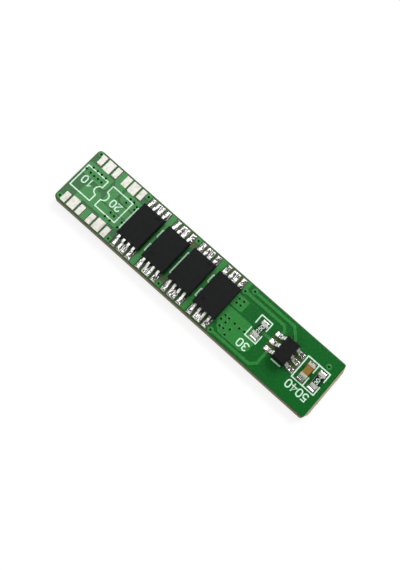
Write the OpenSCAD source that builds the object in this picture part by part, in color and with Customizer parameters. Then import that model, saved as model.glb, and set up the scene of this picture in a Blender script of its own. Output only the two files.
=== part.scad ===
// Battery management board for one lithium cell: a narrow printed circuit board with six
// dual-MOSFET sites (four fitted, two left open), a six-lead protector, two chip resistors and
// a chip capacitor. X runs along the board, Y across it, Z up through it. The routed end is at -X
// and the scored end at +X. The origin is at the bottom, midway between the two ends, with the
// broken edge of the scored end counted in.

/* [Board] */
// Thickness of the glass-epoxy laminate
laminate_t = 0.9; // [0.6:0.1:1.6]
// Thickness of the copper foil on each face
copper_t = 0.05; // [0.035:0.005:0.07]
// Thickness of the solder mask film
mask_t = 0.03; // [0.02:0.005:0.05]
// Thickness of the tin finish on open pads
tin_t = 0.04; // [0.02:0.005:0.06]
// Thickness of the printed legend
ink_t = 0.025; // [0.015:0.005:0.04]
// Radius of the corners at the routed end
routed_r = 0.45; // [0.2:0.05:0.7]
// Radius of the corners at the scored end
scored_r = 0.2; // [0.15:0.05:0.5]
// Strip of laminate left open between the mask and the board's edge
mask_inset = 0.08; // [0.04:0.01:0.14]
// Clearance between a pad and the mask around it
mask_gap = 0.05; // [0.03:0.01:0.09]
// Radius left by etching on the copper's corners
etch_r = 0.04; // [0.02:0.01:0.06]

/* [Scored end] */
// Depth of the V score on each face
score_depth = 0.28; // [0.15:0.01:0.29]
// Reach of the score's slope beyond the end of the mask
score_run = 0.16; // [0.08:0.01:0.25]
// Reach of the broken web beyond the slope
web_run = 0.1; // [0.04:0.01:0.2]
// Length at each corner over which the broken edge tapers away
web_taper = 0.5; // [0.4:0.05:1]

/* [MOSFET sites] */
// Distance from one site to the next
site_pitch = 3.5; // [3.3:0.05:4.2]
// Distance from the routed end to the first site's cell
site_margin = 0.3; // [0.2:0.05:1]
// Length of the single pads, from the board's edge inwards
pad_l = 1.18; // [1:0.02:1.3]
// How much further the double pads reach inwards
double_pad_more = 0.08; // [0:0.02:0.2]
// Width of the single pads
pad_w = 0.64; // [0.5:0.02:0.68]
// Width of the double pads, which take two leads each
double_pad_w = 0.98; // [0.9:0.02:1.1]
// Gap between a single pad and the double pad beside it
pad_spacing = 0.23; // [0.16:0.01:0.26]
// Distance from the board's edge to the pads
pad_edge = 0.2; // [0.14:0.01:0.25]

/* [MOSFET package] */
// Length of the moulded body along the board
mosfet_l = 3; // [2.8:0.05:3.15]
// Width of the moulded body across the board
mosfet_w = 4.3; // [4:0.05:4.5]
// Height of the moulded body
mosfet_h = 0.92; // [0.8:0.02:1.1]
// Span over the leads, from toe to toe
mosfet_span = 6.4; // [6.2:0.05:6.8]
// Distance from lead to lead
mosfet_pitch = 0.65; // [0.6:0.01:0.68]
// Width of a lead
mosfet_lead_w = 0.27; // [0.2:0.01:0.32]
// Thickness of a lead
mosfet_lead_t = 0.13; // [0.1:0.01:0.16]
// Flat length of a lead's foot
mosfet_foot = 0.55; // [0.4:0.05:0.6]
// Distance from a lead's toe to the board's edge
toe_margin = 0.35; // [0.3:0.05:0.5]

/* [Protector package] */
// Width of the moulded body along the board
protector_w = 1.6; // [1.5:0.05:1.7]
// Length of the moulded body across the board
protector_l = 2.8; // [2.7:0.05:3.1]
// Height of the moulded body
protector_h = 1.02; // [0.85:0.02:1.15]
// Span over the leads, from toe to toe
protector_span = 2.8; // [2.7:0.05:3]
// Distance from lead to lead
protector_pitch = 0.95; // [0.9:0.01:1]
// Width of a lead
protector_lead_w = 0.4; // [0.3:0.01:0.48]
// Thickness of a lead
protector_lead_t = 0.15; // [0.1:0.01:0.18]
// Flat length of a lead's foot
protector_foot = 0.3; // [0.2:0.05:0.32]
// Reach of a protector pad, along the board
protector_pad_l = 0.82; // [0.7:0.02:0.9]
// Width of a protector pad
protector_pad_w = 0.56; // [0.5:0.02:0.62]
// Length of pad that shows beyond a lead's toe
protector_pad_toe = 0.52; // [0.3:0.02:0.6]

/* [Chip parts] */
// Length of a chip over its terminals
chip_l = 1.6; // [1.5:0.02:1.7]
// Width of a chip
chip_w = 0.8; // [0.7:0.02:0.88]
// Height of a chip resistor
resistor_h = 0.45; // [0.35:0.01:0.55]
// Height of the chip capacitor
capacitor_h = 0.8; // [0.6:0.02:0.9]
// Length of a terminal along a chip
terminal_l = 0.3; // [0.2:0.01:0.4]
// Thickness of a terminal's plating
terminal_t = 0.03; // [0.02:0.005:0.05]
// Thickness of the black film on a resistor
film_t = 0.035; // [0.02:0.005:0.05]
// Width of a chip's pads
chip_pad_w = 0.86; // [0.8:0.02:1]
// Length of a chip's pads
chip_pad_l = 0.76; // [0.6:0.02:0.8]
// Length of pad that shows beyond a chip's end
chip_pad_toe = 0.38; // [0.3:0.02:0.45]

/* [Placement] */
// From the last site's cell to resistor 2
resistor_2_step = 3.76; // [3.6:0.02:5]
// From resistor 2 to the protector
protector_step = 3.36; // [3.2:0.02:5]
// From the protector to the capacitor
capacitor_step = 2.88; // [2.8:0.02:4]
// From the capacitor to resistor 1
resistor_1_step = 1.44; // [1.36:0.02:2]
// From resistor 1 to the scored end
end_step = 1.26; // [1.1:0.02:3]
// How far the small parts sit from the board's centre line
control_y = 0.3; // [0.1:0.02:0.5]
// Turn of resistor 2 on its pads, in degrees
resistor_2_turn = -6; // [-8:1:8]
// Turn of resistor 1 on its pads, in degrees
resistor_1_turn = 2; // [-8:1:8]
// Sideways shift of every second MOSFET, left by soldering
mosfet_shift = 0.05; // [0:0.01:0.08]

/* [Solder] */
// Thickness of the solder under a lead or terminal
bond_t = 0.03; // [0.02:0.005:0.05]
// Height of a solder pool at its middle
pool_h = 0.14; // [0.1:0.01:0.2]
// Height of a solder pool at its rim
pool_rim = 0.05; // [0.03:0.01:0.08]
// Height to which solder climbs a resistor's end
resistor_fillet = 0.3; // [0.15:0.01:0.35]
// Height to which solder climbs the capacitor's end
capacitor_fillet = 0.48; // [0.3:0.02:0.6]

/* [Vias and tracks] */
// Diameter of the drilled holes
via_drill = 0.3; // [0.25:0.01:0.36]
// Thickness of the copper plated inside a hole
via_plating = 0.025; // [0.015:0.005:0.04]
// Diameter of a via's copper ring
via_land = 0.6; // [0.52:0.01:0.64]
// Width of a track
track_w = 0.25; // [0.15:0.01:0.3]
// Least clearance between a pad and copper that isn't joined to it
copper_gap = 0.1; // [0.1:0.01:0.14]

/* [Legend] */
// Width of a printed line
legend_w = 0.14; // [0.08:0.01:0.18]
// Length of a site's printed outline along the board
outline_l = 2.76; // [2.5:0.02:2.9]
// Width of a site's printed outline across the board
outline_w = 2.83; // [2.6:0.02:3]
// How far the outline's centre lies towards the routed end
outline_shift = 0.34; // [0.2:0.01:0.36]
// Radius of the half-round notch that marks pin 1's end
notch_r = 0.52; // [0.4:0.02:0.6]
// Distance from a chip's pads to the printed frame around it
frame_gap = 0.2; // [0.18:0.01:0.3]
// Distance from a chip's pads to the long sides of its frame
frame_side = 0.28; // [0.2:0.01:0.35]
// Opening left in the long sides of a chip's frame
frame_break = 0.55; // [0.4:0.05:0.8]
// How far the chips' frames lie towards the routed end
frame_shift = 0.1; // [0:0.02:0.16]

/* [Underside] */
// Length of a contact pad along the board
contact_l = 2.8; // [2:0.1:3]
// Width of a contact pad across the board
contact_w = 5; // [4:0.1:5.6]
// Distance from a board end to the outer contact pad
contact_margin = 0.8; // [0.5:0.1:1.5]
// Gap between the two contact pads at one end
contact_gap = 1; // [0.6:0.1:2]

/* [Hidden] */
site_count = 6;
open_sites = 2;
board_w = mosfet_span + 2*toe_margin;
sites_l = site_count*site_pitch;
control_l = resistor_2_step + protector_step + capacitor_step + resistor_1_step + end_step;
board_l = site_margin + sites_l + control_l;
broken_reach = score_run + web_run;
left_x = -(board_l + broken_reach)/2;
right_x = left_x + board_l;
middle_x = (left_x + right_x)/2;
edge_y = board_w/2;

// heights, from the plane the board rests on
foil_bottom = max(tin_t, mask_t);
laminate_bottom = foil_bottom + copper_t;
laminate_top = laminate_bottom + laminate_t;
foil_top = laminate_top + copper_t;
seat_z = foil_top + bond_t;
// how far a cut reaches past what it cuts
past = 1;
through = laminate_top + past;

// places along the board
control_x = left_x + site_margin + sites_l;
resistor_2_x = control_x + resistor_2_step;
protector_x = resistor_2_x + protector_step;
capacitor_x = protector_x + capacitor_step;
resistor_1_x = capacitor_x + resistor_1_step;

// pads
pad_outer_y = edge_y - pad_edge;
pad_inner_y = pad_outer_y - pad_l;
double_inner_y = pad_inner_y - double_pad_more;
single_x = double_pad_w/2 + pad_spacing + pad_w/2;
pad_reach = single_x + pad_w/2;
gap_fill = site_pitch - 2*pad_reach - 2*copper_gap;
protector_pad_x = protector_span/2 + protector_pad_toe - protector_pad_l/2;
chip_pad_y = chip_l/2 + chip_pad_toe - chip_pad_l/2;

// moulded bodies
standoff = 0.08;
mould_draft = 0.13;
lead_root = 0.35;
lead_bend_r = 0.11;
mosfet_lead_slope = 75;
protector_lead_slope = 82;
dimple_depth = 0.05;
mosfet_dimple_r = 0.24;
protector_dimple_r = 0.1;

// half the height of the step left where the web broke
web_step = 0.06;

// films
mask_side = 0.04;
ink_side = 0.02;
track_inset = 0.55;
second_track_inset = 1.2;
lower_track_inset = 0.48;
channel = 0.2;
contact_foil_gap = 0.3;
foil_inset = 0.25;

function site_x(i) = left_x + site_margin + (i + 0.5)*site_pitch;
function unit(v) = v/norm(v);

// the points of a corner at b, between a and c, rounded to radius r
function corner(a, b, c, r, steps = 5) =
    let (u = unit(a - b), v = unit(c - b), half = acos(u*v)/2)
    let (hub = b + unit(u + v)*r/sin(half))
    let (p = b + u*r/tan(half) - hub, q = b + v*r/tan(half) - hub)
    let (from = atan2(p[1], p[0]), turn = atan2(q[1], q[0]) - from)
    let (sweep = turn > 180 ? turn - 360 : turn < -180 ? turn + 360 : turn)
    [for (k = [0:steps]) hub + r*[cos(from + sweep*k/steps), sin(from + sweep*k/steps)]];

// an outline with corner i rounded to radii[i]
function rounded(points, radii) =
    let (n = len(points))
    [for (i = [0:n - 1]) each corner(points[(i + n - 1) % n], points[i], points[(i + 1) % n], radii[i])];

function box_points(x0, y0, x1, y1) = [[x0, y0], [x1, y0], [x1, y1], [x0, y1]];
function arc(hub, r, from, to, steps = 5) =
    [for (k = [0:steps]) let (a = from + (to - from)*k/steps) hub + r*[cos(a), sin(a)]];

// side view of a gull-wing lead: [distance from the centre line, height above the pads]
function gull_wing(root, toe, exit_z, t, foot, slope) =
    let (r = lead_bend_r, drop = exit_z - t/2, straight = (drop - 2*r*(1 - cos(slope)))/sin(slope))
    let (low = [toe - foot, t/2 + r], high = low + [-2*r*sin(slope) - straight*cos(slope), drop - 2*r])
    concat(
        [[root, exit_z + t/2]],
        arc(high, r + t/2, 90, 90 - slope),
        arc(low, r - t/2, 270 - slope, 270),
        [[toe, t], [toe, 0]],
        arc(low, r + t/2, 270, 270 - slope),
        arc(high, r - t/2, 90 - slope, 90),
        [[root, exit_z - t/2]]
    );

module block(x0, y0, x1, y1) {
    translate([x0, y0])
        square([x1 - x0, y1 - y0]);
}

// a line of even width through a list of points, with round ends
module line(points, w) {
    for (i = [0:len(points) - 2]) {
        step = points[i + 1] - points[i];
        translate(points[i])
            rotate(atan2(step[1], step[0]))
                translate([0, -w/2])
                    square([norm(step), w]);
    }
    for (p = points)
        translate(p)
            circle(d = w, $fn = 16);
}

module film(z0, z1) {
    translate([0, 0, z0])
        linear_extrude(z1 - z0)
            children();
}

// ---- vias ----

upper_row_y = 1.54;
lower_row_y = 0.92;
gate_via_y = edge_y - 0.48;

// vias of the two open sites: [from the site's centre, from the board's centre line]
first_site_vias = concat(
    [[-1.6, edge_y - 0.4], [-1.6, 0.5 - edge_y], [-1.6, lower_row_y + 0.06]],
    [for (k = [0:3]) [-1 + 0.52*k, lower_row_y - 0.03*(k % 2)]],
    [for (k = [0:3]) [-1.15 + 0.58*k, upper_row_y]]
);
second_site_vias = [
    [0.55, upper_row_y + 0.06], [1.05, upper_row_y + 0.06], [0.45, 1], [1.6, 1.42], [1.6, 1.02],
    [0.02, -0.87], [0.55, -0.92], [-0.15, -1.55], [0.55, -1.57], [1.6, -0.88], [1.6, -1.57]
];
// vias between the last site and resistor 2: [from the sites' end, from the centre line]
pour_vias = [
    [0.2, -0.93], [0.7, -0.92], [1.48, -0.93], [2.15, -1], [2.75, -0.9], [0.1, -1.5], [0.7, -1.48],
    [1.5, -1.72], [0.45, -2.12], [0.92, -2.07], [1.45, -2.48]
];
corner_vias = [[0.15, 1.35], [0.7, 1.42], [0.18, 0.83], [0.68, 0.88]];
track_1_start = [control_x + 0.83, edge_y - track_inset];
track_2_start = [control_x + 0.05, edge_y - second_track_inset];
track_3_start = [control_x + 0.05, lower_track_inset - edge_y];

function gate_vias() = [for (i = [1, 3], side = [-1, 1]) [site_x(i) + site_pitch/2, side*gate_via_y]];
function moved(points, by) = [for (p = points) p + by];
function via_points() = concat(
    moved(first_site_vias, [site_x(0), 0]),
    moved(second_site_vias, [site_x(1), 0]),
    gate_vias(),
    moved(pour_vias, [control_x, 0]),
    moved(corner_vias, [control_x, 0]),
    [track_1_start, track_2_start, track_3_start, [resistor_1_x, control_y + 1.88]]
);

module via_holes(d) {
    for (p = via_points())
        translate([p[0], p[1], -past])
            cylinder(d = d, h = through + past, $fn = 24);
}

// ---- artwork of the top face ----

module site_pads(i, grow = 0) {
    for (side = [-1, 1]) {
        for (k = [-1, 1])
            translate([site_x(i) + k*single_x, side*(pad_outer_y + pad_inner_y)/2])
                square([pad_w, pad_l] + 2*grow*[1, 1], center = true);
        translate([site_x(i), side*(pad_outer_y + double_inner_y)/2])
            square([double_pad_w, pad_l + double_pad_more] + 2*grow*[1, 1], center = true);
    }
}

module protector_pads(grow = 0) {
    for (side = [-1, 1], k = [-1:1])
        translate([protector_x + side*protector_pad_x, control_y + k*protector_pitch])
            square([protector_pad_l, protector_pad_w] + 2*grow*[1, 1], center = true);
}

module chip_pads(x, grow = 0) {
    for (side = [-1, 1])
        translate([x, control_y + side*chip_pad_y])
            square([chip_pad_w, chip_pad_l] + 2*grow*[1, 1], center = true);
}

module small_part_pads(grow = 0) {
    protector_pads(grow);
    for (x = [resistor_1_x, resistor_2_x, capacitor_x])
        chip_pads(x, grow);
}

// copper that joins the open sites' pads
module open_site_pours() {
    a = site_x(0);
    b = site_x(1);
    right = b + site_pitch/2 + 0.2;
    double_x = double_pad_w/2;
    // upper band of the first site
    polygon(rounded(box_points(left_x + 0.14, 0.43, a + 1.43, 1.9), [0.1, 0.3, 0.2, 0.3]));
    block(a - double_x, 1.6, a + double_x, pad_outer_y);
    // lower pour, shared by both sites
    polygon(rounded(
        [[a - 0.45, -1.82], [a + 1.9, -1.82], [a + 1.9, -0.85], [a + 1.45, -0.08], [a - 0.45, -0.08]],
        [0.05, 0.05, 0.1, 0.3, 0.35]));
    block(a + 1, -1.82, right, -0.65);
    for (x = [a, b])
        block(x - double_x, -pad_outer_y, x + double_x, -1.6);
    // middle pour, from the strip between the sites
    polygon([
        [a + pad_reach + copper_gap, pad_outer_y], [b - double_x - channel, pad_outer_y],
        [b - double_x - channel, 0.43], [right, 0.43], [right, -0.45], [a + 2.1, -0.45],
        [a + 1.9, -0.25], [a + 1.9, 1.55], [a + pad_reach + copper_gap, 2.1]
    ]);
    // upper pour of the second site
    polygon(rounded(box_points(b - double_x + 0.16, 0.68, right, 1.93), [0.4, 0.1, 0.1, 0.1]));
    block(b - double_x + 0.16, 1.6, b + double_x, pad_outer_y);
    // patch between the sites' lower pads
    gap_strip(0, -pad_outer_y, -pad_inner_y);
}

// copper that fills the gap after site i, from y0 to y1
module gap_strip(i, y0, y1) {
    x = site_x(i) + site_pitch/2;
    block(x - gap_fill/2, y0, x + gap_fill/2, y1);
}

// copper in the gaps between the sites
module gap_copper() {
    for (i = [2, 4])
        gap_strip(i, -pad_outer_y, pad_outer_y);
    for (p = gate_vias())
        translate(p)
            square(gap_fill, center = true);
    block(control_x - site_pitch/2 + pad_reach + copper_gap, edge_y - second_track_inset,
        control_x + 0.12, pad_outer_y);
}

// copper between the last site and resistor 2
module control_pours() {
    polygon(rounded(
        [[control_x - 0.7, -1.4], [control_x + 0.05, -2], [control_x + 0.7, -2.7],
         [resistor_2_x - 0.1, -2.7], [resistor_2_x + 0.5, -2.15], [resistor_2_x + 0.5, -0.15],
         [resistor_2_x - 0.55, -0.15], [resistor_2_x - 0.75, 0.08], [control_x - 0.7, 0.08]],
        [0.05, 0.05, 0.1, 0.1, 0.1, 0.1, 0.05, 0.05, 0.05]));
    polygon(rounded(box_points(control_x - 0.7, 0.36, control_x + 1.2, 1.73), [0.05, 0.25, 0.1, 0.05]));
}

module tracks() {
    knee_1 = protector_x - 0.95;
    drop_x = protector_x - protector_pad_x + 0.15;
    line([track_1_start, [knee_1, track_1_start[1]], [knee_1 + 1, track_1_start[1] - 1],
          [knee_1 + 1, control_y + protector_pitch]], track_w);
    line([track_2_start, [drop_x - 0.45, track_2_start[1]], [drop_x, track_2_start[1] - 0.45],
          [drop_x, control_y + protector_pitch]], track_w);
    line([track_3_start, [drop_x - 0.6, track_3_start[1]], [drop_x, track_3_start[1] + 0.6],
          [drop_x, control_y - protector_pitch]], track_w);
    line([[protector_x - protector_pad_x, control_y], [resistor_2_x, control_y],
          [resistor_2_x, control_y + chip_pad_y]], track_w);
}

module top_art(grow = 0) {
    offset(r = etch_r + grow, $fn = 16)
        offset(delta = -etch_r) {
            for (i = [0:site_count - 1])
                site_pads(i);
            small_part_pads();
            open_site_pours();
            gap_copper();
            control_pours();
            tracks();
            for (p = via_points())
                translate(p)
                    circle(d = via_land, $fn = 24);
        }
}

module top_openings() {
    for (i = [0:site_count - 1])
        site_pads(i, mask_gap);
    small_part_pads(mask_gap);
}

// ---- artwork of the underside ----

// from the middle of the board to the outer and the inner contact pads
outer_contact = board_l/2 - contact_margin - contact_l/2;
inner_contact = outer_contact - contact_l - contact_gap;

module contact_pads(grow = 0) {
    for (x = [outer_contact, inner_contact], side = [-1, 1])
        translate([middle_x + side*x, 0])
            square([contact_l, contact_w] + 2*grow*[1, 1], center = true);
}

module bottom_art(grow = 0) {
    reach_y = edge_y - foil_inset;
    split = (outer_contact + inner_contact)/2;
    inner_end = inner_contact - contact_l/2 - contact_foil_gap;
    offset(r = etch_r + grow, $fn = 16)
        offset(delta = -etch_r) {
            translate([middle_x, 0]) {
                for (turn = [0, 180])
                    rotate(turn) {
                        block(split + contact_foil_gap/2, -reach_y, board_l/2 - foil_inset, reach_y);
                        block(inner_end, -reach_y, split - contact_foil_gap/2, reach_y);
                    }
                block(contact_foil_gap - inner_end, -reach_y, inner_end - contact_foil_gap, reach_y);
            }
            for (p = via_points())
                translate(p)
                    circle(d = via_land, $fn = 24);
        }
}

// ---- the board ----

module board_outline(inset = 0) {
    polygon(rounded(
        box_points(left_x + inset, -edge_y + inset, right_x, edge_y - inset),
        [routed_r - inset, scored_r, scored_r, routed_r - inset]));
}

module laminate() {
    middle = (laminate_bottom + laminate_top)/2;
    color("#6b6a45")
        difference() {
            union() {
                film(laminate_bottom, laminate_top)
                    board_outline();
                // the scored end: a slope from each face to the broken web between them
                intersection() {
                    translate([right_x, 0, 0])
                        rotate([90, 0, 0])
                            linear_extrude(board_w, center = true)
                                polygon([
                                    [-scored_r, laminate_bottom], [0, laminate_bottom],
                                    [score_run, laminate_bottom + score_depth],
                                    [broken_reach, middle - web_step],
                                    [score_run + web_run/3, middle + web_step],
                                    [score_run, laminate_top - score_depth], [0, laminate_top],
                                    [-scored_r, laminate_top]
                                ]);
                    film(laminate_bottom, laminate_top)
                        polygon([
                            [right_x - scored_r, scored_r - edge_y], [right_x, scored_r - edge_y],
                            [right_x + broken_reach, scored_r + web_taper - edge_y],
                            [right_x + broken_reach, edge_y - scored_r - web_taper],
                            [right_x, edge_y - scored_r], [right_x - scored_r, edge_y - scored_r]
                        ]);
                }
            }
            via_holes(via_drill);
        }
}

module top_copper() {
    color("#b87333")
        difference() {
            film(laminate_top, foil_top)
                top_art();
            via_holes(via_drill);
        }
}

module bottom_copper() {
    color("#b87333")
        difference() {
            film(foil_bottom, laminate_bottom)
                bottom_art();
            via_holes(via_drill);
        }
}

module via_barrels() {
    color("#b87333")
        for (p = via_points())
            translate([p[0], p[1], foil_bottom])
                difference() {
                    cylinder(d = via_drill, h = foil_top - foil_bottom, $fn = 24);
                    translate([0, 0, -past])
                        cylinder(d = via_drill - 2*via_plating, h = through + past, $fn = 24);
                }
}

// the mask lies flat on the laminate and steps up over the copper
module top_mask() {
    color("#2f7a3f")
        difference() {
            union() {
                film(laminate_top, laminate_top + mask_t)
                    board_outline(mask_inset);
                film(laminate_top, foil_top + mask_t)
                    top_art(mask_side);
            }
            film(laminate_top - past, foil_top)
                top_art();
            film(laminate_top - past, through)
                top_openings();
            via_holes(via_drill - 2*via_plating);
        }
}

module bottom_mask() {
    color("#1c5c2b")
        difference() {
            union() {
                film(laminate_bottom - mask_t, laminate_bottom)
                    board_outline(mask_inset);
                film(foil_bottom - mask_t, laminate_bottom)
                    bottom_art(mask_side);
            }
            film(foil_bottom, laminate_bottom + past)
                bottom_art();
            film(-past, laminate_bottom + past)
                contact_pads(mask_gap);
            via_holes(via_drill - 2*via_plating);
        }
}

// ---- legend and tin ----

// a site's outline, with its notch on the side that +1 or -1 names
module site_outline(i, notch_side) {
    hub = [site_x(i) - outline_shift, 0];
    half = [outline_l, outline_w]/2;
    points = concat(
        [[half[0], notch_r], half, [-half[0], half[1]], -half, [half[0], -half[1]], [half[0], -notch_r]],
        arc([half[0], 0], notch_r, 270, 90, 8));
    line([for (p = points) hub + [notch_side*p[0], p[1]]], legend_w);
}

frame_half_l = chip_pad_y + chip_pad_l/2 + frame_gap;
frame_half_w = chip_pad_w/2 + frame_side;

// one long side of a chip's frame, whole or with a gap at its middle
module frame_side_line(x, whole) {
    for (side = [-1, 1])
        line([[x, control_y + side*frame_half_l],
              [x, control_y + side*(whole ? 0 : (frame_break + legend_w)/2)]], legend_w);
}

module frame_end_lines(x0, x1) {
    for (side = [-1, 1])
        line([[x0, control_y + side*frame_half_l], [x1, control_y + side*frame_half_l]], legend_w);
}

module legend_art() {
    // one outline is made of all the lines
    offset(delta = 0) {
        for (i = [0:site_count - 1])
            site_outline(i, i % 2 == 0 ? 1 : -1);
        translate([-frame_shift, 0]) {
            for (side = [-1, 1])
                frame_side_line(resistor_2_x + side*frame_half_w, false);
            frame_end_lines(resistor_2_x - frame_half_w, resistor_2_x + frame_half_w);
            frame_side_line(capacitor_x - frame_half_w, true);
            frame_side_line((capacitor_x + resistor_1_x)/2, false);
            frame_side_line(resistor_1_x + frame_half_w, false);
            frame_end_lines(capacitor_x - frame_half_w, resistor_1_x + frame_half_w);
        }
        for (side = [-1, 1])
            translate([protector_x, control_y + side*(protector_l/2 + legend_w/4)])
                square([0.75*protector_w, legend_w], center = true);
    }
}

// the ink follows the mask's steps and stops at its openings
module legend() {
    color("#cdf0d7")
        difference() {
            union() {
                film(laminate_top, laminate_top + mask_t + ink_t)
                    legend_art();
                film(laminate_top, foil_top + mask_t + ink_t)
                    intersection() {
                        legend_art();
                        top_art(mask_side + ink_side);
                    }
            }
            film(laminate_top - past, laminate_top + mask_t)
                board_outline();
            film(laminate_top - past, foil_top + mask_t)
                top_art(mask_side);
            film(laminate_top - past, through)
                top_openings();
            via_holes(via_drill);
        }
}

module open_pad_tin() {
    color("#e8e6dc")
        difference() {
            film(foil_top, foil_top + tin_t)
                intersection() {
                    top_art();
                    for (i = [0:open_sites - 1])
                        site_pads(i, mask_gap);
                }
            via_holes(via_drill - 2*via_plating);
        }
}

module contact_pad_tin() {
    color("#e8e6dc")
        difference() {
            film(foil_bottom - tin_t, foil_bottom)
                contact_pads(mask_gap);
            via_holes(via_drill - 2*via_plating);
        }
}

// ---- moulded packages ----
// Each is drawn with its length along X and its leads reaching out along Y.

function six_sides(half, z0, h) = [
    [mould_draft - half, z0], [half - mould_draft, z0], [half, z0 + h/2],
    [half - mould_draft, z0 + h], [mould_draft - half, z0 + h], [-half, z0 + h/2]
];

// a moulded block that tapers from its parting line to the top and to the bottom
module moulded(l, w, h) {
    intersection() {
        rotate([90, 0, 0])
            linear_extrude(2*w, center = true)
                polygon(six_sides(l/2, standoff, h));
        rotate([90, 0, 90])
            linear_extrude(2*l, center = true)
                polygon(six_sides(w/2, standoff, h));
    }
}

module gull_leads(count, pitch, w, profile) {
    for (turn = [0, 180], k = [0:count - 1])
        rotate(turn)
            translate([(k - (count - 1)/2)*pitch, 0, 0])
                rotate([90, 0, 90])
                    linear_extrude(w, center = true)
                        polygon(profile);
}

module dimple(x, y, top, r) {
    translate([x, y, top - dimple_depth])
        cylinder(r = r, h = past, $fn = 32);
}

module mosfet_lead_set() {
    gull_leads(4, mosfet_pitch, mosfet_lead_w,
        gull_wing(mosfet_w/2 - lead_root, mosfet_span/2, standoff + mosfet_h/2, mosfet_lead_t,
            mosfet_foot, mosfet_lead_slope));
}

// every second MOSFET is turned round, and sits a little lower on its pads
module place_mosfet(k) {
    translate([site_x(open_sites + k), k % 2 == 0 ? mosfet_shift : -mosfet_shift, seat_z])
        rotate(k % 2 == 0 ? 0 : 180)
            children();
}

module mosfet_body(k) {
    color("#25282b")
        place_mosfet(k)
            difference() {
                moulded(mosfet_l, mosfet_w, mosfet_h);
                mosfet_lead_set();
                dimple(mosfet_l/2 - 0.75, mosfet_w/2 - 0.7, standoff + mosfet_h, mosfet_dimple_r);
            }
}

module mosfet_leads(k) {
    color("#d9d9d6")
        place_mosfet(k)
            mosfet_lead_set();
}

module protector_lead_set() {
    gull_leads(3, protector_pitch, protector_lead_w,
        gull_wing(protector_w/2 - lead_root, protector_span/2, standoff + protector_h/2,
            protector_lead_t, protector_foot, protector_lead_slope));
}

module place_protector() {
    translate([protector_x, control_y, seat_z])
        rotate(90)
            children();
}

module protector_body() {
    color("#202224")
        place_protector()
            difference() {
                moulded(protector_l, protector_w, protector_h);
                protector_lead_set();
                dimple(protector_l/2 - 0.47, 0.32, standoff + protector_h, protector_dimple_r);
            }
}

module protector_leads() {
    color("#d9d9d6")
        place_protector()
            protector_lead_set();
}

// ---- chip parts ----
// Each is drawn with its length along Y and its underside at Z = 0.

module place_chip(x, turn) {
    translate([x, control_y, seat_z])
        rotate(turn)
            children();
}

module centred_box(size) {
    translate([-size[0]/2, -size[1]/2, 0])
        cube(size);
}

// the terminals of a chip, wrapped round a core of the given width and height
module chip_terminals(h, core_w) {
    difference() {
        for (side = [-1, 1])
            translate([0, side*(chip_l - terminal_l)/2, 0])
                centred_box([chip_w, terminal_l, h]);
        chip_core(h, core_w);
    }
}

module chip_core(h, core_w) {
    translate([0, 0, terminal_t])
        centred_box([core_w, chip_l - 2*terminal_t, h - 2*terminal_t]);
}

module resistor_substrate(x, turn) {
    color("#efece3")
        place_chip(x, turn)
            chip_core(resistor_h, chip_w);
}

module resistor_film(x, turn) {
    color("#151617")
        place_chip(x, turn)
            translate([0, 0, resistor_h - terminal_t])
                centred_box([chip_w, chip_l - 2*terminal_l, film_t]);
}

module resistor_terminals(x, turn) {
    color("#dcdcd8")
        place_chip(x, turn)
            chip_terminals(resistor_h, chip_w);
}

module capacitor_body() {
    color("#b07d32")
        place_chip(capacitor_x, 0)
            chip_core(capacitor_h, chip_w - 2*terminal_t);
}

module capacitor_terminals() {
    color("#cfc7b8")
        place_chip(capacitor_x, 0)
            chip_terminals(capacitor_h, chip_w - 2*terminal_t);
}

// ---- solder ----

// a cylinder whose crown stands pool_h high, and pool_rim high at w/2 from its middle
module vault(w, l) {
    rise = pool_h - pool_rim;
    r = (w*w/4 + rise*rise)/(2*rise);
    translate([0, 0, pool_h - r])
        rotate([90, 0, 0])
            cylinder(r = r, h = 2*l, center = true, $fn = 64);
}

// a domed pool of solder on a pad
module pool(w, l) {
    intersection() {
        centred_box([w, l, pool_h]);
        vault(w, l);
        rotate(90)
            vault(l, w);
    }
}

module mosfet_solder(k) {
    i = open_sites + k;
    color("#e4e3dc")
        difference() {
            for (side = [-1, 1]) {
                for (j = [-1, 1])
                    translate([site_x(i) + j*single_x, side*(pad_outer_y + pad_inner_y)/2, foil_top])
                        pool(pad_w, pad_l);
                translate([site_x(i), side*(pad_outer_y + double_inner_y)/2, foil_top])
                    pool(double_pad_w, pad_l + double_pad_more);
            }
            place_mosfet(k)
                mosfet_lead_set();
        }
}

module protector_solder() {
    color("#e4e3dc")
        difference() {
            for (side = [-1, 1], k = [-1:1])
                translate([protector_x + side*protector_pad_x, control_y + k*protector_pitch, foil_top])
                    pool(protector_pad_l, protector_pad_w);
            place_protector()
                protector_lead_set();
        }
}

// solder under a chip's terminals, with a hollow fillet up each end
module chip_solder(x, turn, h, climb) {
    inner = chip_pad_y - chip_pad_l/2;
    run = chip_pad_toe;
    rim = 0.02;
    side_view = concat(
        [[inner, 0], [inner, bond_t], [chip_l/2 - 0.08, bond_t], [chip_l/2 - 0.08, climb]],
        [for (a = [0:15:90]) [chip_l/2 + run*(1 - cos(a)), rim + (climb - rim)*(1 - sin(a))]],
        [[chip_l/2 + run, 0]]);
    color("#e4e3dc")
        difference() {
            translate([x, control_y, foil_top])
                for (end = [0, 180])
                    rotate(end)
                        rotate([90, 0, 90])
                            linear_extrude(chip_pad_w, center = true)
                                polygon(side_view);
            place_chip(x, turn)
                centred_box([chip_w, chip_l, h]);
        }
}

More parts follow.
